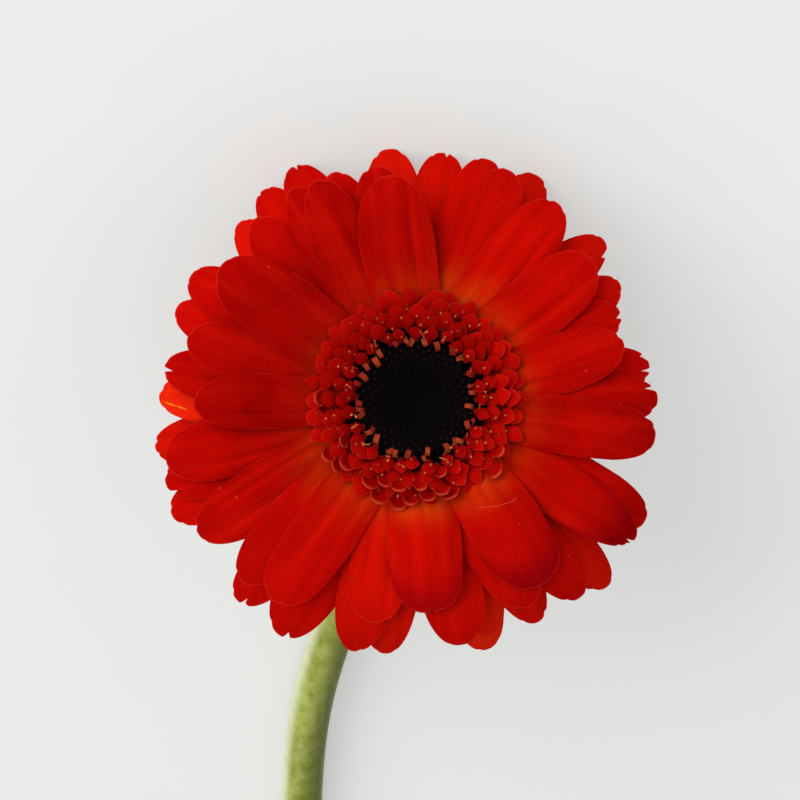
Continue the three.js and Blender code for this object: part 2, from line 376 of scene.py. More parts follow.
material, shader, on = new_material("fleshy_green", Roughness=0.5)
flesh = on.place.grain(500.0).step(0.3, 0.7)
flesh.mix(colour(138, 152, 84), colour(160, 172, 104)).into(shader, "Base Color")
bowl.data.materials.append(material)
material, shader, on = new_material("shaded_seat", Roughness=0.8, Specular_IOR_Level=0.0)
on.place.grain(900.0).mix(colour(12, 6, 4), colour(34, 10, 5)).into(shader, "Base Color")
bowl.data.materials.append(material)
for face in bowl.data.polygons:
    face.material_index = 1 if face.normal.dot(facing) > SEAT_FACING else 0

# ---- Scales round the bowl ----
# Two rows of narrow, pointed, downy green bracts that wrapped the bud. Each clasps the bowl at its foot, and
# its free tip stands a little away from it. The outer row is shorter and covers the gaps of the inner one.
BRACTS = 21
BRACT_STEPS = (6, 14)  # across and along it
BRACT_THICKNESS = 0.55
BRACT_FOOT = 25  # angle on the bowl
BRACT_CLASP = 0.35  # how much its sides wrap round the bowl
BRACT_FREE = 0.72  # share of the length that clasps the bowl, before the free tip
BRACT_TIP_OUT = 1.3
# Each row: [distance from the bowl, angle on the bowl that its tips reach, width, place of the first one].
BRACT_ROWS = {"inner": [0.2, 90, 4.6, 0], "outer": [1.0, 72, 4.4, 180 / BRACTS]}


def bract_point(along, side, offset, rim, width):
    """A point of the outer face of a bract at twelve o'clock: along is 0 to 1, and side is -1 to 1."""
    taper = (1 - along**2.2) ** 0.8
    half = width / 2 * taper * (0.75 + 0.5 * along)
    reach = BRACT_FOOT + (rim - BRACT_FOOT) * along
    radius, height = bowl_point(offset, reach)
    free = max(0, along - BRACT_FREE) / (1 - BRACT_FREE)
    radius += BRACT_TIP_OUT * free**2 - BRACT_CLASP * side * side * taper
    turn = side * half / radius
    return Vector((radius * math.sin(turn), radius * math.cos(turn), height))


def new_grid(columns, rows):
    """A flat grid of which the columns run along +X, as the start of a leaf or petal."""
    deselect()
    bpy.ops.mesh.primitive_grid_add(x_subdivisions=rows, y_subdivisions=columns, size=1)
    return bpy.context.object


def blade(columns, rows, point, *sizes):
    """A thin leaf. point gives its shape, from u, 0 at the foot to 1 at the tip, and s, -1 to 1 across."""
    leaf = new_grid(columns, rows)
    for v in leaf.data.vertices:
        v.co = point(v.co.x + 0.5, 2 * v.co.y, *sizes)
    return leaf


def with_value(piece, name, value):
    """Writes one value on all the points of a piece."""
    written = piece.data.attributes.get(name) or piece.data.attributes.new(name, "FLOAT", "POINT")
    written.data.foreach_set("value", [float(value)] * len(piece.data.vertices))


def copies(model, name, placings):
    """Copies of a model, each in its own place with its own tone, joined into one piece. The model goes."""
    made = []
    for matrix, tone in placings:
        copy = model.copy()
        copy.data = model.data.copy()
        bpy.context.collection.objects.link(copy)
        copy.data.transform(matrix)
        with_value(copy, "tone", tone)
        made.append(copy)
    deselect()
    for copy in made:
        copy.select_set(True)
    bpy.context.view_layer.objects.active = made[0]
    bpy.ops.object.join()
    made[0].name = name
    bpy.data.objects.remove(model)
    return made[0]


def round_head(clock):
    """Turns something at twelve o'clock round to another place on the clock, and puts it on the head."""
    return HEAD @ Matrix.Rotation(-math.radians(clock), 4, "Z")


chance = random.Random(7)


def bract_row(name, offset, rim, width, start):
    """One ring of bracts round the bowl, spaced evenly but for a degree or so."""
    bract = blade(*BRACT_STEPS, bract_point, offset + BRACT_THICKNESS, rim, width)
    weld(bract, WELD)  # at the point of its tip
    finish_with(bract, "SOLIDIFY", thickness=BRACT_THICKNESS, offset=-1)
    pitch = 360 / BRACTS
    places = [(round_head(start + i * pitch + chance.uniform(-1, 1)), chance.random()) for i in range(BRACTS)]
    row = copies(bract, name + "_bracts", places)
    smooth(row, 50)
    belongs(row, "bract", "bracts_" + name)
    return row


bract_rows = [bract_row(name, *sizes) for name, sizes in BRACT_ROWS.items()]
material, shader, on = new_material("downy_bract", Roughness=0.6, Sheen_Weight=0.25, Specular_IOR_Level=0.25)
ribs = on.place.grain(700.0)
green = on.tone.mix(colour(92, 108, 44), colour(120, 134, 62))
green = (ribs.step(0.35, 0.75) * 0.4).mix(green, colour(150, 160, 96))
tip = on.along.step(0.82, 1.0)
(tip * 0.8).mix(green, colour(112, 52, 40)).into(shader, "Base Color")
bump(ribs, shader, 0.25, 0.0002)
for row in bract_rows:
    row.data.materials.append(material)

# ---- Petals ----
# The long outer florets: thin velvety straps, rounded at the end with small teeth where three petals have
# grown together. Each grows from the rim of the head and lies on the ones behind it, so they are laid from
# the back of the flower to the front, and a petal that meets another is pushed up by it.
ROOT_RADIUS = 11.5
ROOT_HEIGHT = -1.2
SPAN = 29  # root to tip of a typical petal
FAN = 1.3  # how much further apart the layers of the frame are at the tips than at the roots
ROOT_LAYERS = 0.3  # distance between the real layers at the roots, as a share of the frame's
PETAL_ROWS = 42
PETAL_COLUMNS = 40
PETAL_THICKNESS = 0.26
PETAL_GAP = 0.06
FOOT_WIDTH = 0.78  # of the full width
END_SHARE = 0.4  # of the length, taken by the rounded end
RISE, CUP, RECURVE = 5, 3.5, 8.5  # how much a petal climbs, curves upwards, and bends back at its end
FOOT_REACH = 2  # length at the root of the frame's petals that counts as their foot
FLAT_FOOT = 0.35  # of the length, over which the camber sets in
CURL_FROM = 0.7  # of the length, from where the end may curl down
FURROW_WIDTH = 0.13  # of half the width
BACKMOST = 4  # depth of the petals behind all the others
SETTLING_STEPS = 60  # to spread the lift of one petal by another
TABLE_GAP = 0.03
ABOVE_ALL = 50  # a height over everything on the head


def arch(out):
    """Height of a petal over its root: like a shallow cup, with an end that bends back."""
    return RISE * out + CUP * out**2 - RECURVE * out**6


def read_petal(node):
    """How a petal of the frame lies: its root, direction, length, width and how far down it is."""
    points = [HEAD.inverted() @ v.co for v in node.data.vertices]
    nearest = min(p.xy.length for p in points)
    foot = [p for p in points if p.xy.length < nearest + FOOT_REACH]
    root = sum((p.xy for p in foot), Vector((0, 0))) / len(foot)
    tip = max(points, key=lambda p: (p.xy - root).length + 0.01 * p.z)  # and the upper point of two
    line = (tip.xy - root).normalized()
    side = Vector((-line.y, line.x))
    depth = ROOT_HEIGHT - max(p.z for p in foot)
    out = (tip.xy.length - ROOT_RADIUS) / SPAN
    droop = (ROOT_HEIGHT + arch(out) - depth * (1 + FAN * out) - tip.z) / out**3
    width = 2 * max(abs((p.xy - root).dot(side)) for p in points)
    return SimpleNamespace(
        root=root, line=line, side=side, length=(tip.xy - root).length, width=width, depth=depth, droop=droop
    )


# Deep notches that a few of the tips have, by the petal's number: [place across it, depth, half width].
NOTCHES = {
    2: [(0.05, 0.035, 0.1)],
    5: [(0.62, 0.03, 0.1)],
    10: [(-0.14, 0.05, 0.06), (-0.5, 0.015, 0.1)],
    22: [(0.04, 0.06, 0.09)],
    23: [(-0.14, 0.04, 0.12)],
    24: [(0.4, 0.05, 0.09)],
    32: [(-0.15, 0.055, 0.08), (0.4, 0.03, 0.1)],
    34: [(0.16, 0.045, 0.1)],
    35: [(0.35, 0.06, 0.1)],
    39: [(-0.11, 0.03, 0.09)],
    41: [(-0.05, 0.03, 0.08)],
    46: [(0.15, 0.045, 0.08)],
    50: [(-0.45, 0.03, 0.12)],
}
# The petals that bulge most towards the light.
BULGING = {
    1: dict(camber=1.9, hump=1.0, curl=1.2, blunt=2.4),
    2: dict(camber=1.7, hump=0.9, curl=1.2, blunt=2.4),
}

# Marks on a few of the petals, each as a line on the petal's own map: [name, place across at the foot,
# slope, where it starts and ends along the petal, half width, colour]. MARKED has the petals that each one
# is on, and the ones of which the end gets deep painted shade.
MARKS = [
    ["crease", 2.05, -1.5, 0.87, 0.985, 0.03, (255, 170, 30)],
    ["scratch", -1.3, 4.6, 0.33, 0.48, 0.02, (226, 84, 60)],
    ["bruise", 0.24, 0, 0.92, 0.985, 0.06, (30, 14, 6)],
]
MARKED = {"crease": [45], "scratch": [1], "bruise": [10], "painted_shade_end": [1, 2, 10]}
PETAL_LETS_THROUGH = 0.25  # of the light
PETAL_GLOW = colour(225, 24, 6)  # the colour of that light
DUST_SCALE = 380.0  # of the cells of which a few hold a speck
# A petal's tone sets its painted light and shade; this one is painted brighter than its place would make it.
BRIGHT = {45: 1.5}  # a petal that is brighter than its place would make it, and its tone
# Places on the clock, in degrees, for the painted light and shade on the petals.
SHADED_SIDES = (101, 238, 335)  # where a few petals are darker than the rest
PAINTED_SHADE_SIDE = 305  # the middle of the half of the flower that is a little darker
LIT_LINE = 22  # where the petals are brighter, as they are straight across from it
BACKLIT_SIDE = 125  # where the petals behind let most light through
# The orange feet are the petals' own colour, made stronger as painted light where the light falls on them.
LOW_ORANGE, HIGH_ORANGE = 195, 36  # where the feet of the petals are most orange


def petal_look(number):
    """The small differences from petal to petal: teeth, furrows, camber, roll and sway."""
    teeth = [
        (side * chance.uniform(0.2, 0.5), chance.uniform(0.004, 0.016), chance.uniform(0.1, 0.18))
        for side in (-1, 1)
    ]
    look = SimpleNamespace(
        notches=NOTCHES.get(number, []) + teeth,
        blunt=chance.uniform(2.0, 2.4),
        sway=chance.uniform(-0.35, 0.35),
        camber=chance.uniform(0.5, 0.9),
        hump=chance.uniform(-0.3, 0.4),
        curl=chance.uniform(0, 0.6),
        roll=chance.uniform(-0.06, 0.06),
        furrows=[
            (chance.uniform(low, high), chance.uniform(0.1, 0.36))
            for low, high in ((-0.5, -0.25), (0.25, 0.5))
        ],
    )
    vars(look).update(BULGING.get(number, {}))
    return look


def petal_end(s, look):
    """Where a petal ends at s across it, as a share of its length."""
    end = 1 - END_SHARE * (1 - (1 - abs(s) ** look.blunt) ** (1 / look.blunt))
    for at, deep, wide in look.notches:
        end -= deep * max(0, 1 - abs(s - at) / wide) ** 1.4
    return end


def petal_point(petal, look, u, s):
    """A point of a petal's upper face: u runs from foot to tip, and s from side to side."""
    along = u * petal_end(s, look)
    half = petal.width / 2 * (1 - (1 - FOOT_WIDTH) * (1 - u) ** 2)
    across = s * half + look.sway * along * (1 - along) * 4
    place = petal.root + petal.line * along * petal.length + petal.side * across
    out = (place.length - ROOT_RADIUS) / SPAN
    layer = petal.depth * (ROOT_LAYERS + (1 + FAN - ROOT_LAYERS) * out)
    height = ROOT_HEIGHT + arch(out) - petal.droop * out**3 - layer
    clear = min(1, along / FLAT_FOOT)
    clear *= clear * (3 - 2 * clear)
    swell = math.sin(math.pi * min(1, 0.08 + along * 0.84))
    height += look.camber * (1 - s * s) * swell * clear
    height += look.hump * math.sin(math.pi * along) ** 2 * clear
    height -= look.curl * (max(0, along - CURL_FROM) / (1 - CURL_FROM)) ** 2
    height += look.roll * s * half * along
    for at, deep in look.furrows:
        height -= deep * math.exp(-(((s - at) / FURROW_WIDTH) ** 2)) * math.sin(math.pi * along) ** 0.7
    return Vector((place.x, place.y, height))


def rest_on(points, below):
    """Lifts a petal's points, evenly all over, until they clear what lies below them."""
    need = np.zeros(len(points))
    for i, p in enumerate(points):
        hit = below.ray_cast(Vector((p.x, p.y, ABOVE_ALL)), Vector((0, 0, -1)))[0]
        if hit:
            need[i] = max(0, hit.z + PETAL_THICKNESS + PETAL_GAP - p.z)
    grid = need.reshape(PETAL_COLUMNS + 1, PETAL_ROWS + 1)
    lift = grid.copy()
    for _ in range(SETTLING_STEPS):
        edge = np.pad(lift, 1, mode="edge")
        mean = (edge[:-2, 1:-1] + edge[2:, 1:-1] + edge[1:-1, :-2] + edge[1:-1, 2:]) / 4
        lift = np.maximum(mean, grid)
    for p, rise in zip(points, lift.ravel()):
        p.z += rise


def towards(clock, side):
    """1 for something on one side of the flower, going down to 0 a quarter of the way round from it."""
    return max(0, math.cos(math.radians(clock - side)))


def petal_tone(clock, depth):
    """A petal's painted light and shade; the ones behind get a painted glow, most of all low on the right."""
    # Painted light and shade by the petal's place on the clock, with a part at random.
    in_front = 0.4 - 0.2 * math.cos(math.radians(clock - PAINTED_SHADE_SIDE))
    in_front += 0.32 * math.cos(2 * math.radians(clock - LIT_LINE))
    in_front -= 0.3 * sum(towards(clock, side) ** 16 for side in SHADED_SIDES)
    in_front = max(0, in_front) + 0.15 * chance.random()
    # A painted glow of light let through, for the petals at the back.
    at_back = 1.05 + 0.8 * towards(clock, BACKLIT_SIDE)
    behind = max(0, min(1, depth / BACKMOST)) ** 1.5
    return in_front + (at_back - in_front) * behind


def petal_glow(clock):
    """Orange at a petal's foot: some its own, more as painted light low on the flower and up on the right."""
    return 0.15 + 0.85 * max(towards(clock, LOW_ORANGE) ** 1.5, 0.8 * towards(clock, HIGH_ORANGE) ** 4)


blank = new_grid(PETAL_COLUMNS, PETAL_ROWS)
laid_points, laid_faces = [], []
petals = []
petal_nodes = sorted((name for name in nodes if name.startswith("ray_")), reverse=True)
for name in petal_nodes:
    number = int(name[-2:])
    lies = read_petal(nodes[name])
    look = petal_look(number)
    petal = blank.copy()
    petal.data = blank.data.copy()
    petal.name = "petal" + name[3:]
    bpy.context.collection.objects.link(petal)
    points = [petal_point(lies, look, v.co.x + 0.5, 2 * v.co.y) for v in petal.data.vertices]
    if laid_points:
        rest_on(points, BVHTree.FromPolygons(laid_points, laid_faces))
    first = len(laid_points)
    laid_points += [p.copy() for p in points]
    laid_faces += [[first + i for i in face.vertices] for face in petal.data.polygons]
    for v, p in zip(petal.data.vertices, points):
        v.co = HEAD @ p
        v.co.z = max(v.co.z, (PETAL_THICKNESS + TABLE_GAP) * MM)
    clock = math.degrees(math.atan2(lies.line.x, lies.line.y))
    with_value(petal, "tone", BRIGHT[number] if number in BRIGHT else petal_tone(clock, lies.depth))
    with_value(petal, "glow", petal_glow(clock))
    for mark, marked in MARKED.items():
        if number in marked:
            with_value(petal, mark, 1)
    finish_with(petal, "SOLIDIFY", thickness=PETAL_THICKNESS * MM, offset=-1)
    smooth(petal, 50)
    belongs(petal, "ray", name)
    petals.append(petal)
bpy.data.objects.remove(blank)


def stretched(on, along, across, spread, start=0):
    """A petal's own map, stretched along and across it, and at another place in the noise for each tone."""
    return on.place.node(
        "CombineXYZ", {0: on.along * along, 1: on.across * across, 2: on.tone * spread + start}
    )


def through_light(on, shader, share, shade):
    """Lets a share of the light through a thin petal."""
    tree = on.place.tree
    glow = on.place.node("BsdfTranslucent", {"Color": shade})
    both = on.place.node("MixShader", {"Fac": share, 1: Wire(tree, shader.outputs[0]), 2: glow})
    both.into(tree.nodes["Material Output"], "Surface")


velvet, shader, on = new_material("petal_velvet", Roughness=0.55, Specular_IOR_Level=0.0)
side = abs(on.across * 2 - 1)
veins = stretched(on, 1.4, 22, 30).grain(1.0, 4.0)
cloud = on.place.grain(160.0, 2.0)
fuzz = on.place.grain(3500.0, 2.0)
body = on.tone.mix(colour(146, 4, 2), colour(206, 11, 3))
# Painted shade down the sides of every petal, where they curve away.
body = (side.step(0.5, 1.0) * 0.3).mix(body, colour(140, 4, 2))
# A painted glow of light let through, on the petals of highest tone, those at the back.
body = on.tone.step(0.8, 1.8).mix(body, colour(250, 48, 14))
body = (cloud.step(0.35, 0.7) * 0.3).mix(body, colour(212, 14, 5))
# Painted shade and painted light in broad bands along the petals, as over soft folds.
painted_fold_shading = stretched(on, 0.9, 5, 30, 9).grain(1.0, 1.0)
body = (painted_fold_shading.step(0.5, 0.3) * 0.22).mix(body, colour(142, 4, 2))
body = (painted_fold_shading.step(0.5, 0.7) * 0.2).mix(body, colour(222, 26, 8))
body = (veins.step(0.5, 0.8) * 0.22).mix(body, colour(214, 26, 8))
body = (fuzz.step(0.45, 0.75) * 0.25).mix(body, colour(140, 2, 2))
streaks = stretched(on, 4, 6, 50).grain(1.0)
patches = on.place.grain(90.0, 2.0)
# The orange foot of each petal, its own colour, with painted light where its glow value is high.
foot = 1 - on.along.step(0.12, 0.5)
foot = foot * (streaks.step(0.3, 0.7) * 0.6 + 0.4) * (patches.step(0.35, 0.65) * 0.6 + 0.4)
body = (foot * on.place.attribute("glow")).mix(body, colour(228, 82, 18))
# Painted shade towards the end of every petal, much deeper on a few.
tip = on.along.step(0.72, 1.0) * (on.place.attribute("painted_shade_end") * 0.55 + 0.06)
body = tip.mix(body, colour(136, 0, 16))
# A thin painted light along each petal's end and sides, where light comes through the edge.
rim = on.along.step(0.985, 1.0).larger(side.step(0.975, 1.0) * on.along.step(0.5, 0.9))
body = (rim * 0.45).mix(body, colour(222, 44, 34))
grains = on.place.node("TexVoronoi", {"Vector": on.place, "Scale": DUST_SCALE})
chosen = on.place.node("TexVoronoi", {"Vector": on.place, "Scale": DUST_SCALE}, output=1).parts()[0]
dust = (1 - grains.step(0.03, 0.07)) * chosen.step(0.86, 0.88) * on.along.step(0.3, 0.8)
body = (dust * 0.5).mix(body, colour(230, 110, 90))
for mark, start, slope, first, last, width, shade in MARKS:
    streak = 1 - abs(on.across - on.along * slope - start).step(0.0, width)
    streak = streak * on.along.step(first, first + 0.03) * (1 - on.along.step(last - 0.03, last))
    broken = on.place.grain(900.0).step(0.35, 0.5) * 0.4 + 0.3
    body = (streak * broken * on.place.attribute(mark)).mix(body, colour(*shade))
body.into(shader, "Base Color")
bump(veins, shader, 0.22, 0.0002)
through_light(on, shader, PETAL_LETS_THROUGH, PETAL_GLOW)

underside, shader, on = new_material(
    "petal_underside", Roughness=0.55, Sheen_Weight=0.1, Specular_IOR_Level=0.2
)
veins = stretched(on, 1.4, 22, 30).grain(1.0, 4.0)
pale = veins.step(0.35, 0.7).mix(colour(196, 38, 26), colour(214, 62, 40))
((1 - on.along.step(0.1, 0.6)) * 0.7).mix(pale, colour(220, 96, 48)).into(shader, "Base Color")
bump(veins, shader, 0.3, 0.0002)
through_light(on, shader, PETAL_LETS_THROUGH, PETAL_GLOW)
for petal in petals:
    petal.data.materials.append(velvet)
    petal.data.materials.append(underside)
    for face in petal.data.polygons:
        face.material_index = 1 if face.normal.dot(facing) < 0 else 0

# ---- Ring of small florets ----
# Five rows of short florets between the petals and the eye. Each is a fleshy tube out of the bowl that opens
# into a thin red velvety lip: a rounded diamond, a tongue, or low on the flower a cup with a pale rim.
# Each row: [florets, radius and height of the lip's edge, radius and height of the throat, width of the lip].
FLORET_ROWS = [
    [28, 11.9, 2.7, 9.7, 1.4, 2.3],
    [30, 13.4, 2.4, 10.8, 1.4, 2.6],
    [32, 14.9, 2.0, 12.0, 1.2, 2.9],
    [34, 16.3, 1.5, 13.3, 0.9, 3.0],
    [36, 17.6, 1.0, 14.6, 0.8, 3.0],
]
LIP_STEPS = (6, 9)  # across and along it
LIP_THICKNESS = 0.14
LIP_DOME = 0.07  # how much a lip bulges in the middle
LIP_DIP = 0.03  # how far its sides go down
# Each kind of lip: [share of the length taken by its end, bluntness, how far the end turns up]. A bluntness
# of 1 would be a sharp point, and 2 is a half circle.
LIP_KINDS = {"pointed": [0.58, 1.28, 0], "tongue": [0.5, 1.75, 0], "cupped": [0.4, 2.0, 0.5]}
CUPPED_SIDE = 188  # place on the clock where most of the lips are cupped
CUPPED_SHARE = 0.15  # of the lips there, times the row's number
POINTED_SHARE = 0.7  # of the lips that aren't cupped
INNER_ROWS = 2  # that belong to the frame's inner band
TUBE_SIDES = 6
TUBE_RADIUS = 0.55  # at its mouth
TUBE_TAPER = 0.6  # its radius at the foot, as a share of that
TUBE_FOOT = 10  # radius on the bowl where the first row's tubes stand
TUBE_FOOT_STEP = 0.3  # from row to row


def lip_point(u, s, end, blunt, cup):
    """A point of a lip 1 long and 1 wide, growing along +Y from its throat."""
    half = 0.5 * (0.12 + 0.88 * u**0.9)
    along = u * (1 - end * (1 - (1 - abs(s) ** blunt) ** (1 / blunt)))
    rise = LIP_DOME * math.sin(math.pi * u) * (1 - s * s) - LIP_DIP * u * s * s
    rise += cup * max(0, u - 0.5) ** 2 * 4
    return Vector((s * half, along, rise))


def between(start, end, radius):
    """Stretches a tube 1 long and 1 in radius along +Z from one point to another."""
    run = Vector(end) - Vector(start)
    turn = run.to_track_quat("Z", "Y").to_matrix().to_4x4()
    size = Matrix.Diagonal((radius, radius, run.length, 1))
    return Matrix.Translation(Vector(start) + run / 2) @ turn @ size


def floret_row(number, row):
    """One ring of florets. They alternate with the row inside them."""
    count, edge, edge_height, throat, throat_height, width = row
    length = math.hypot(edge - throat, edge_height - throat_height)
    slope = math.atan2(edge_height - throat_height, edge - throat)
    places = {kind: [] for kind in LIP_KINDS}
    tubes = []
    for i in range(count):
        clock = (i + 0.5 * (number % 2)) * 360 / count + chance.uniform(-2.4, 2.4)
        at = Vector((0, throat + chance.uniform(-0.4, 0.4), throat_height + chance.uniform(-0.25, 0.25)))
        turn = Matrix.Rotation(math.radians(chance.uniform(-20, 20)), 4, "Z")
        roll = Matrix.Rotation(math.radians(chance.uniform(-12, 12)), 4, "Y")
        pitch = Matrix.Rotation(slope + math.radians(chance.uniform(-8, 10)), 4, "X")
        grow = Matrix.Diagonal((chance.uniform(0.85, 1.15), chance.uniform(0.9, 1.1), 1, 1))
        # Painted light and shade on the lips by their place on the clock, brighter in the outer rows, and a
        # part at random.
        lit = 0.3 * (1 - math.cos(math.radians(clock + 20))) / 2
        tone = lit + 0.1 * number + 0.4 * chance.random()
        place = round_head(clock) @ Matrix.Translation(at) @ turn @ pitch @ roll @ grow
        kind = lip_kind(number, clock)
        places[kind].append((place, 1 + tone if kind == "cupped" else tone))
        foot = Vector((0, TUBE_FOOT + TUBE_FOOT_STEP * number, HEAD_FOOT))
        mouth = at + Vector((0, 0.1, 0))
        tubes.append((round_head(clock) @ between(foot, mouth, TUBE_RADIUS), chance.random()))
    rings = [
        lips("%s_lips_%d" % (kind, number + 1), width, length, LIP_KINDS[kind], places[kind])
        for kind in LIP_KINDS
        if places[kind]
    ]
    return rings, tubes


def lip_kind(number, clock):
    """Low on the flower most lips outside the innermost row are cupped. The others are of two kinds."""
    low = 0.5 + 0.5 * math.cos(math.radians(clock - CUPPED_SIDE))
    if chance.random() < CUPPED_SHARE * (number + 1) * low**4 and number > 0:
        return "cupped"
    return "pointed" if chance.random() < POINTED_SHARE else "tongue"


def lips(name, width, length, kind, places):
    """Lips of one shape, copied to their places."""
    lip = blade(*LIP_STEPS, lip_point, *kind)
    lip.data.transform(Matrix.Diagonal((width, length, length, 1)))
    finish_with(lip, "SOLIDIFY", thickness=LIP_THICKNESS, offset=-1)
    made = copies(lip, name, places)
    smooth(made, 60)
    return made


lip_velvet, shader, on = new_material(
    "lip_velvet", Roughness=0.55, Specular_IOR_Level=0.03, Specular_Tint=colour(255, 90, 60)
)
side = abs(on.across * 2 - 1)
fuzz = on.place.grain(2500.0, 2.0)
body = on.tone.step(0.0, 1.0).mix(colour(144, 5, 3), colour(196, 11, 5))
# Painted shade inside the cupped lips low on the flower.
in_cup = on.tone.step(1.0, 1.1)
body = (in_cup * 0.4).mix(body, colour(130, 3, 3))
body = (fuzz.step(0.4, 0.75) * 0.2).mix(body, colour(196, 16, 7))
# Painted shade towards each lip's throat.
body = ((1 - on.along.step(0.1, 0.55)) * 0.6).mix(body, colour(100, 5, 4))
# A pale rim at each lip's end, its own colour, painted stronger on the brighter lips; on the cupped lips a
# stronger painted highlight where the turned-up end catches the light.
rim = on.along.step(0.86, 1.0) * (on.tone.step(0.3, 1.0) * 0.14 + 0.03)
rim = rim.larger(on.along.step(0.84, 0.98) * (1 - side.step(0.3, 1.0)) * in_cup * 0.8)
rim.mix(body, colour(218, 84, 48)).into(shader, "Base Color")
through_light(on, shader, 0.35, colour(230, 24, 8))

deselect()
bpy.ops.mesh.primitive_cone_add(vertices=TUBE_SIDES, radius1=TUBE_TAPER, radius2=1, depth=1)
tube = bpy.context.object
all_tubes = []
for number, row in enumerate(FLORET_ROWS):
    rings, tubes = floret_row(number, row)
    for ring in rings:
        ring.data.materials.append(lip_velvet)
        band = "inner" if number < INNER_ROWS else "outer"
        belongs(ring, "trans_floret", "trans_florets_" + band)
    all_tubes += tubes
tubes = copies(tube, "floret_tubes", all_tubes)
smooth(tubes, 70)
belongs(tubes, "trans_floret")
material, shader, on = new_material("tube_flesh", Roughness=0.7, Specular_IOR_Level=0.05)
on.tone.mix(colour(84, 8, 5), colour(120, 12, 7)).into(shader, "Base Color")
tubes.data.materials.append(material)

# ---- Curled inner lips and stigmas ----
# The florets next to the eye have narrow inner lips, salmon and brown, that curl back over the eye like
# shavings. The pale stigmas of most florets show as small dots where the lips meet, and round the eye they
# stand out on their own thin styles.
CURLS = 33
CURL_STEPS = (3, 9)  # across and along one
CURL_WIDTH = 0.86
CURL_TAPER = 0.12  # how much narrower it is at its end
CURL_THICKNESS = 0.13
# Each kind of curl: [how far it turns over, its length].
CURL_KINDS = [[2.5, 2.0], [2.0, 1.6], [3.3, 2.3]]


def curl_point(u, s, bend, reach):
    """A point of a strap that rises out of a throat and curls over towards the eye."""
    turn = bend * u
    radius = reach / bend
    half = CURL_WIDTH / 2 * (1 - CURL_TAPER * u)
    return Vector((s * half, -radius * (1 - math.cos(turn)), radius * math.sin(turn)))


def curl_places():
    """Where the curls stand round the eye, each turned and leaning its own way."""
    places = []
    for i in range(CURLS):
        clock = i * 360 / CURLS + chance.uniform(-5, 5)
        at = Vector((0, chance.uniform(9.1, 10.3), chance.uniform(0.9, 1.9)))
        spin = Matrix.Rotation(math.radians(chance.uniform(-45, 45)), 4, "Z")
        lean = Matrix.Rotation(math.radians(chance.uniform(-25, 15)), 4, "X")
        roll = Matrix.Rotation(math.radians(chance.uniform(-30, 30)), 4, "Y")
        grow = Matrix.Scale(chance.uniform(0.8, 1.15), 4)
        stands = round_head(clock) @ Matrix.Translation(at) @ spin @ lean @ roll @ grow
        places.append((stands, chance.random()))
    return places


places = curl_places()
curl_sets = []
for kind, (bend, reach) in enumerate(CURL_KINDS):
    curl = blade(*CURL_STEPS, curl_point, bend, reach)
    finish_with(curl, "SOLIDIFY", thickness=CURL_THICKNESS, offset=0)
    curl_set = copies(curl, "curled_lips_%d" % (kind + 1), places[kind :: len(CURL_KINDS)])
    smooth(curl_set, 50)
    belongs(curl_set, "trans_floret", "trans_florets_inner")
    curl_sets.append(curl_set)

material, shader, on = new_material("salmon_curl", Roughness=0.6, Specular_IOR_Level=0.03)
grain = on.place.grain(1800.0, 3.0)
body = on.tone.mix(colour(106, 14, 9), colour(150, 62, 31))
body = (grain.step(0.35, 0.7) * 0.5).mix(body, colour(136, 34, 19))
(on.along.step(0.6, 1.0) * 0.5).mix(body, colour(146, 22, 12)).into(shader, "Base Color")
for curl_set in curl_sets:
    curl_set.data.materials.append(material)

STIGMA_RADIUS = 0.21
HIDDEN_STIGMAS = 0.35  # share of the florets of which the stigma doesn't show
STYLES = 24
STYLE_RADIUS = 0.12  # up to its knee
STYLE_END_RADIUS = 0.11  # and from there to the stigma
deselect()
bpy.ops.mesh.primitive_ico_sphere_add(subdivisions=2, radius=STIGMA_RADIUS)
stigma = bpy.context.object
stigma.data.transform(Matrix.Diagonal((0.9, 1, 1.5, 1)))
bpy.ops.object.shade_smooth()
places = []
for number, (count, _, edge_height, throat, _, _) in enumerate(FLORET_ROWS):
    for i in range(count):
        if chance.random() < HIDDEN_STIGMAS:
            continue
        clock = (i + 0.5 * (number % 2)) * 360 / count + chance.uniform(-2, 2)
        out = throat + 0.8 + chance.uniform(-0.2, 0.4)
        at = Vector((0, out, edge_height + 0.1 + chance.uniform(0, 0.3)))
        lean = Matrix.Rotation(math.radians(chance.uniform(-50, 50)), 4, "X")
        places.append((round_head(clock) @ Matrix.Translation(at) @ lean, chance.random()))
deselect()
bpy.ops.mesh.primitive_cone_add(vertices=5, radius1=1, radius2=0.8, depth=1)
style = bpy.context.object
style_places = []
for i in range(STYLES):
    clock = i * 360 / STYLES + chance.uniform(-6, 6)
    foot = Vector((chance.uniform(-0.5, 0.5), chance.uniform(9.6, 10.4), 1.2))
    knee = foot + Vector((chance.uniform(-0.4, 0.4), chance.uniform(-0.3, 0.6), 1.3))
    tip = knee + Vector((chance.uniform(-0.7, 0.7), chance.uniform(-0.2, 0.9), chance.uniform(0.1, 0.7)))
    tone = chance.random()
    style_places.append((round_head(clock) @ between(foot, knee, STYLE_RADIUS), tone))
    style_places.append((round_head(clock) @ between(knee, tip, STYLE_END_RADIUS), tone))
    places.append((round_head(clock) @ Matrix.Translation(tip), tone))
stigmas = copies(stigma, "stigmas", places)
styles = copies(style, "styles", style_places)
material, shader, on = new_material("pale_stigma", Roughness=0.6, Specular_IOR_Level=0.05)
(on.tone * on.tone).mix(colour(156, 44, 26), colour(200, 112, 66)).into(shader, "Base Color")
for piece in (stigmas, styles):
    belongs(piece, "trans_floret")
    piece.data.materials.append(material)

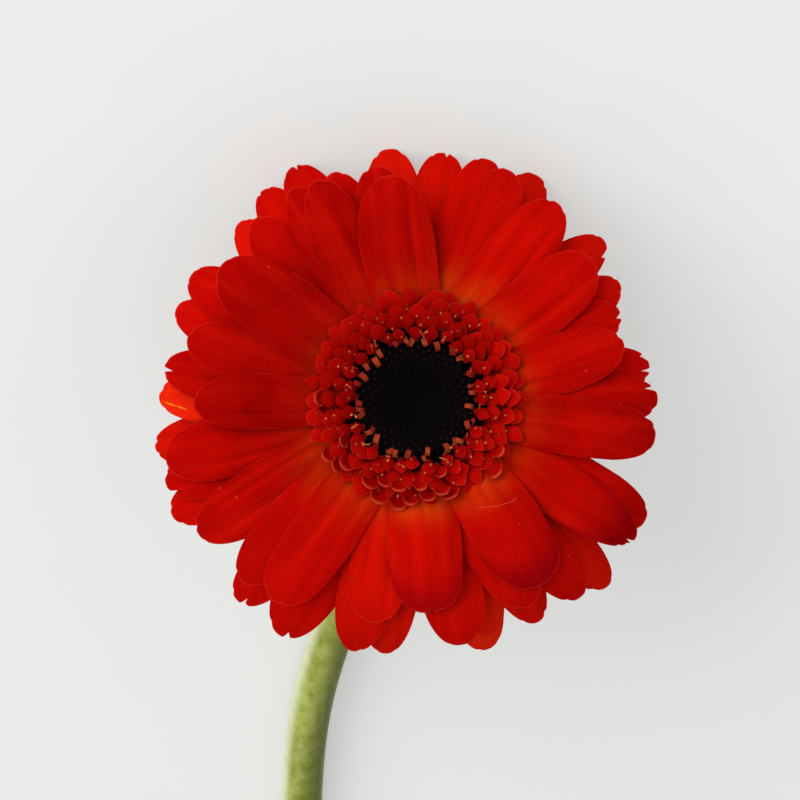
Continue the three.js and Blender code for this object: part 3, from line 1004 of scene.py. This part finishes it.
# ---- Eye ----
# About 250 closed buds, nearly black, in the spirals that a seed head grows in. Their tips have a little
# painted purple highlight near the rim, and the youngest in the middle, without it, are quite dark.
EYE_RADIUS = 9.3
EYE_HEIGHT = 1.4  # at its rim
EYE_DIMPLE = 0.9  # how much lower its middle is
BUD_SINK = 0.75  # how far a bud's middle is below the eye's surface
BUD_LEAN = -12  # degrees outwards at the rim
BUD_INSET = 0.25  # how far a bud stands inwards of its place in the spiral, because it leans out
BUDS = 250
GOLDEN_ANGLE = math.pi * (3 - math.sqrt(5))
BUD_RADIUS = 0.56
BUD_HEIGHT = 1.6  # times its radius, above and below its middle
BUD_POINT = 0.35  # how much narrower it is at the top
YOUNGEST_BUD = 0.85  # size of the one in the middle
BUD_GROWTH = 0.2  # how much larger they are at the rim

deselect()
bpy.ops.mesh.primitive_uv_sphere_add(segments=10, ring_count=7, radius=1)
bud = bpy.context.object
for v in bud.data.vertices:
    shoulder = 1 - BUD_POINT * max(0, v.co.z)
    v.co = Vector((v.co.x * shoulder, v.co.y * shoulder, v.co.z * BUD_HEIGHT)) * BUD_RADIUS
bpy.ops.object.shade_smooth()
places = []
for i in range(BUDS):
    radius = EYE_RADIUS * math.sqrt((i + 0.5) / BUDS)
    height = EYE_HEIGHT - EYE_DIMPLE * (1 - radius / EYE_RADIUS) - BUD_SINK
    spin = math.degrees(GOLDEN_ANGLE * i)
    lean = Matrix.Rotation(math.radians(BUD_LEAN) * radius / EYE_RADIUS, 4, "X")
    grow = Matrix.Scale(YOUNGEST_BUD + BUD_GROWTH * radius / EYE_RADIUS, 4)
    at = Matrix.Translation((0, radius - BUD_INSET, height))
    places.append((round_head(spin) @ at @ lean @ grow, (radius / EYE_RADIUS) ** 2))
eye = copies(bud, "eye_buds", places)
belongs(eye, "disc_floret")

material, shader, on = new_material("dark_bud", Roughness=0.6, Specular_IOR_Level=0.03)
# A painted purple highlight on the tips of the buds, strongest at the rim.
painted_highlight_tip = on.across.step(0.74, 0.92) * on.tone.step(0.05, 0.8)
painted_highlight_tip.mix(colour(2, 1, 1), colour(34, 15, 18)).into(shader, "Base Color")
eye.data.materials.append(material)
material, shader, on = new_material("dark_eye_flesh", Roughness=0.7, Specular_IOR_Level=0.02)
on.place.grain(2000.0).step(0.3, 0.7).mix(colour(2, 1, 1), colour(6, 3, 4)).into(shader, "Base Color")
nodes["disc_florets"].data.materials.clear()
nodes["disc_florets"].data.materials.append(material)

# ---- Table, light and camera ----
# A plain pale table that glows a little, painted light that softens the shadows under the flower, soft light
# from a window beyond the head, and a camera that looks straight down on the flower's face.
TABLE_SIZE = 6  # metres, as the window's sizes below
ROOM_LIGHT = 0.715
deselect()
bpy.ops.mesh.primitive_plane_add(size=TABLE_SIZE)
table_top = bpy.context.object
table_top.name = "table_top"
material, shader, on = new_material(
    "pale_table_painted_glow", Roughness=0.9, Specular_IOR_Level=0.1,
    Emission_Color=colour(250, 253, 251), Emission_Strength=0.35,
)
on.place.grain(40.0).mix(colour(184, 185, 184), colour(187, 188, 187)).into(shader, "Base Color")
table_top.data.materials.append(material)

scene = bpy.context.scene
scene.view_settings.view_transform = "Standard"
world = bpy.data.worlds.new("studio")
scene.world = world
world.use_nodes = True
world.node_tree.nodes["Background"].inputs["Color"].default_value = (0.98, 1, 0.99, 1)
world.node_tree.nodes["Background"].inputs["Strength"].default_value = ROOM_LIGHT

WINDOW_SIDE = (-0.8, 0.9, 0.5)  # the way to it from the head
WINDOW_DISTANCE = 1.4
WINDOW_SIZE = 1.4
WINDOW_POWER = 19.6
window_at = joint_at + Vector(WINDOW_SIDE).normalized() * WINDOW_DISTANCE
bpy.ops.object.light_add(type="AREA", location=window_at)
window = bpy.context.object
window.name = "window"
window.data.size = WINDOW_SIZE
window.data.energy = WINDOW_POWER
window.rotation_euler = (joint_at - window_at).to_track_quat("-Z", "Y").to_euler()

CAMERA_DISTANCE = 650
VIEW_WIDTH = 126.5  # of the photograph at the flower's face
AIM = (-2.4, -0.16)  # the middle of the photograph, on the flower's face
SENSOR = 36
bpy.ops.object.camera_add()
camera = bpy.context.object
camera.data.sensor_width = SENSOR
camera.data.lens = SENSOR * CAMERA_DISTANCE / VIEW_WIDTH
camera.data.clip_start = 0.01
camera.location = HEAD @ Vector((*AIM, CAMERA_DISTANCE))
camera.rotation_euler = tilt.to_euler()
scene.camera = camera
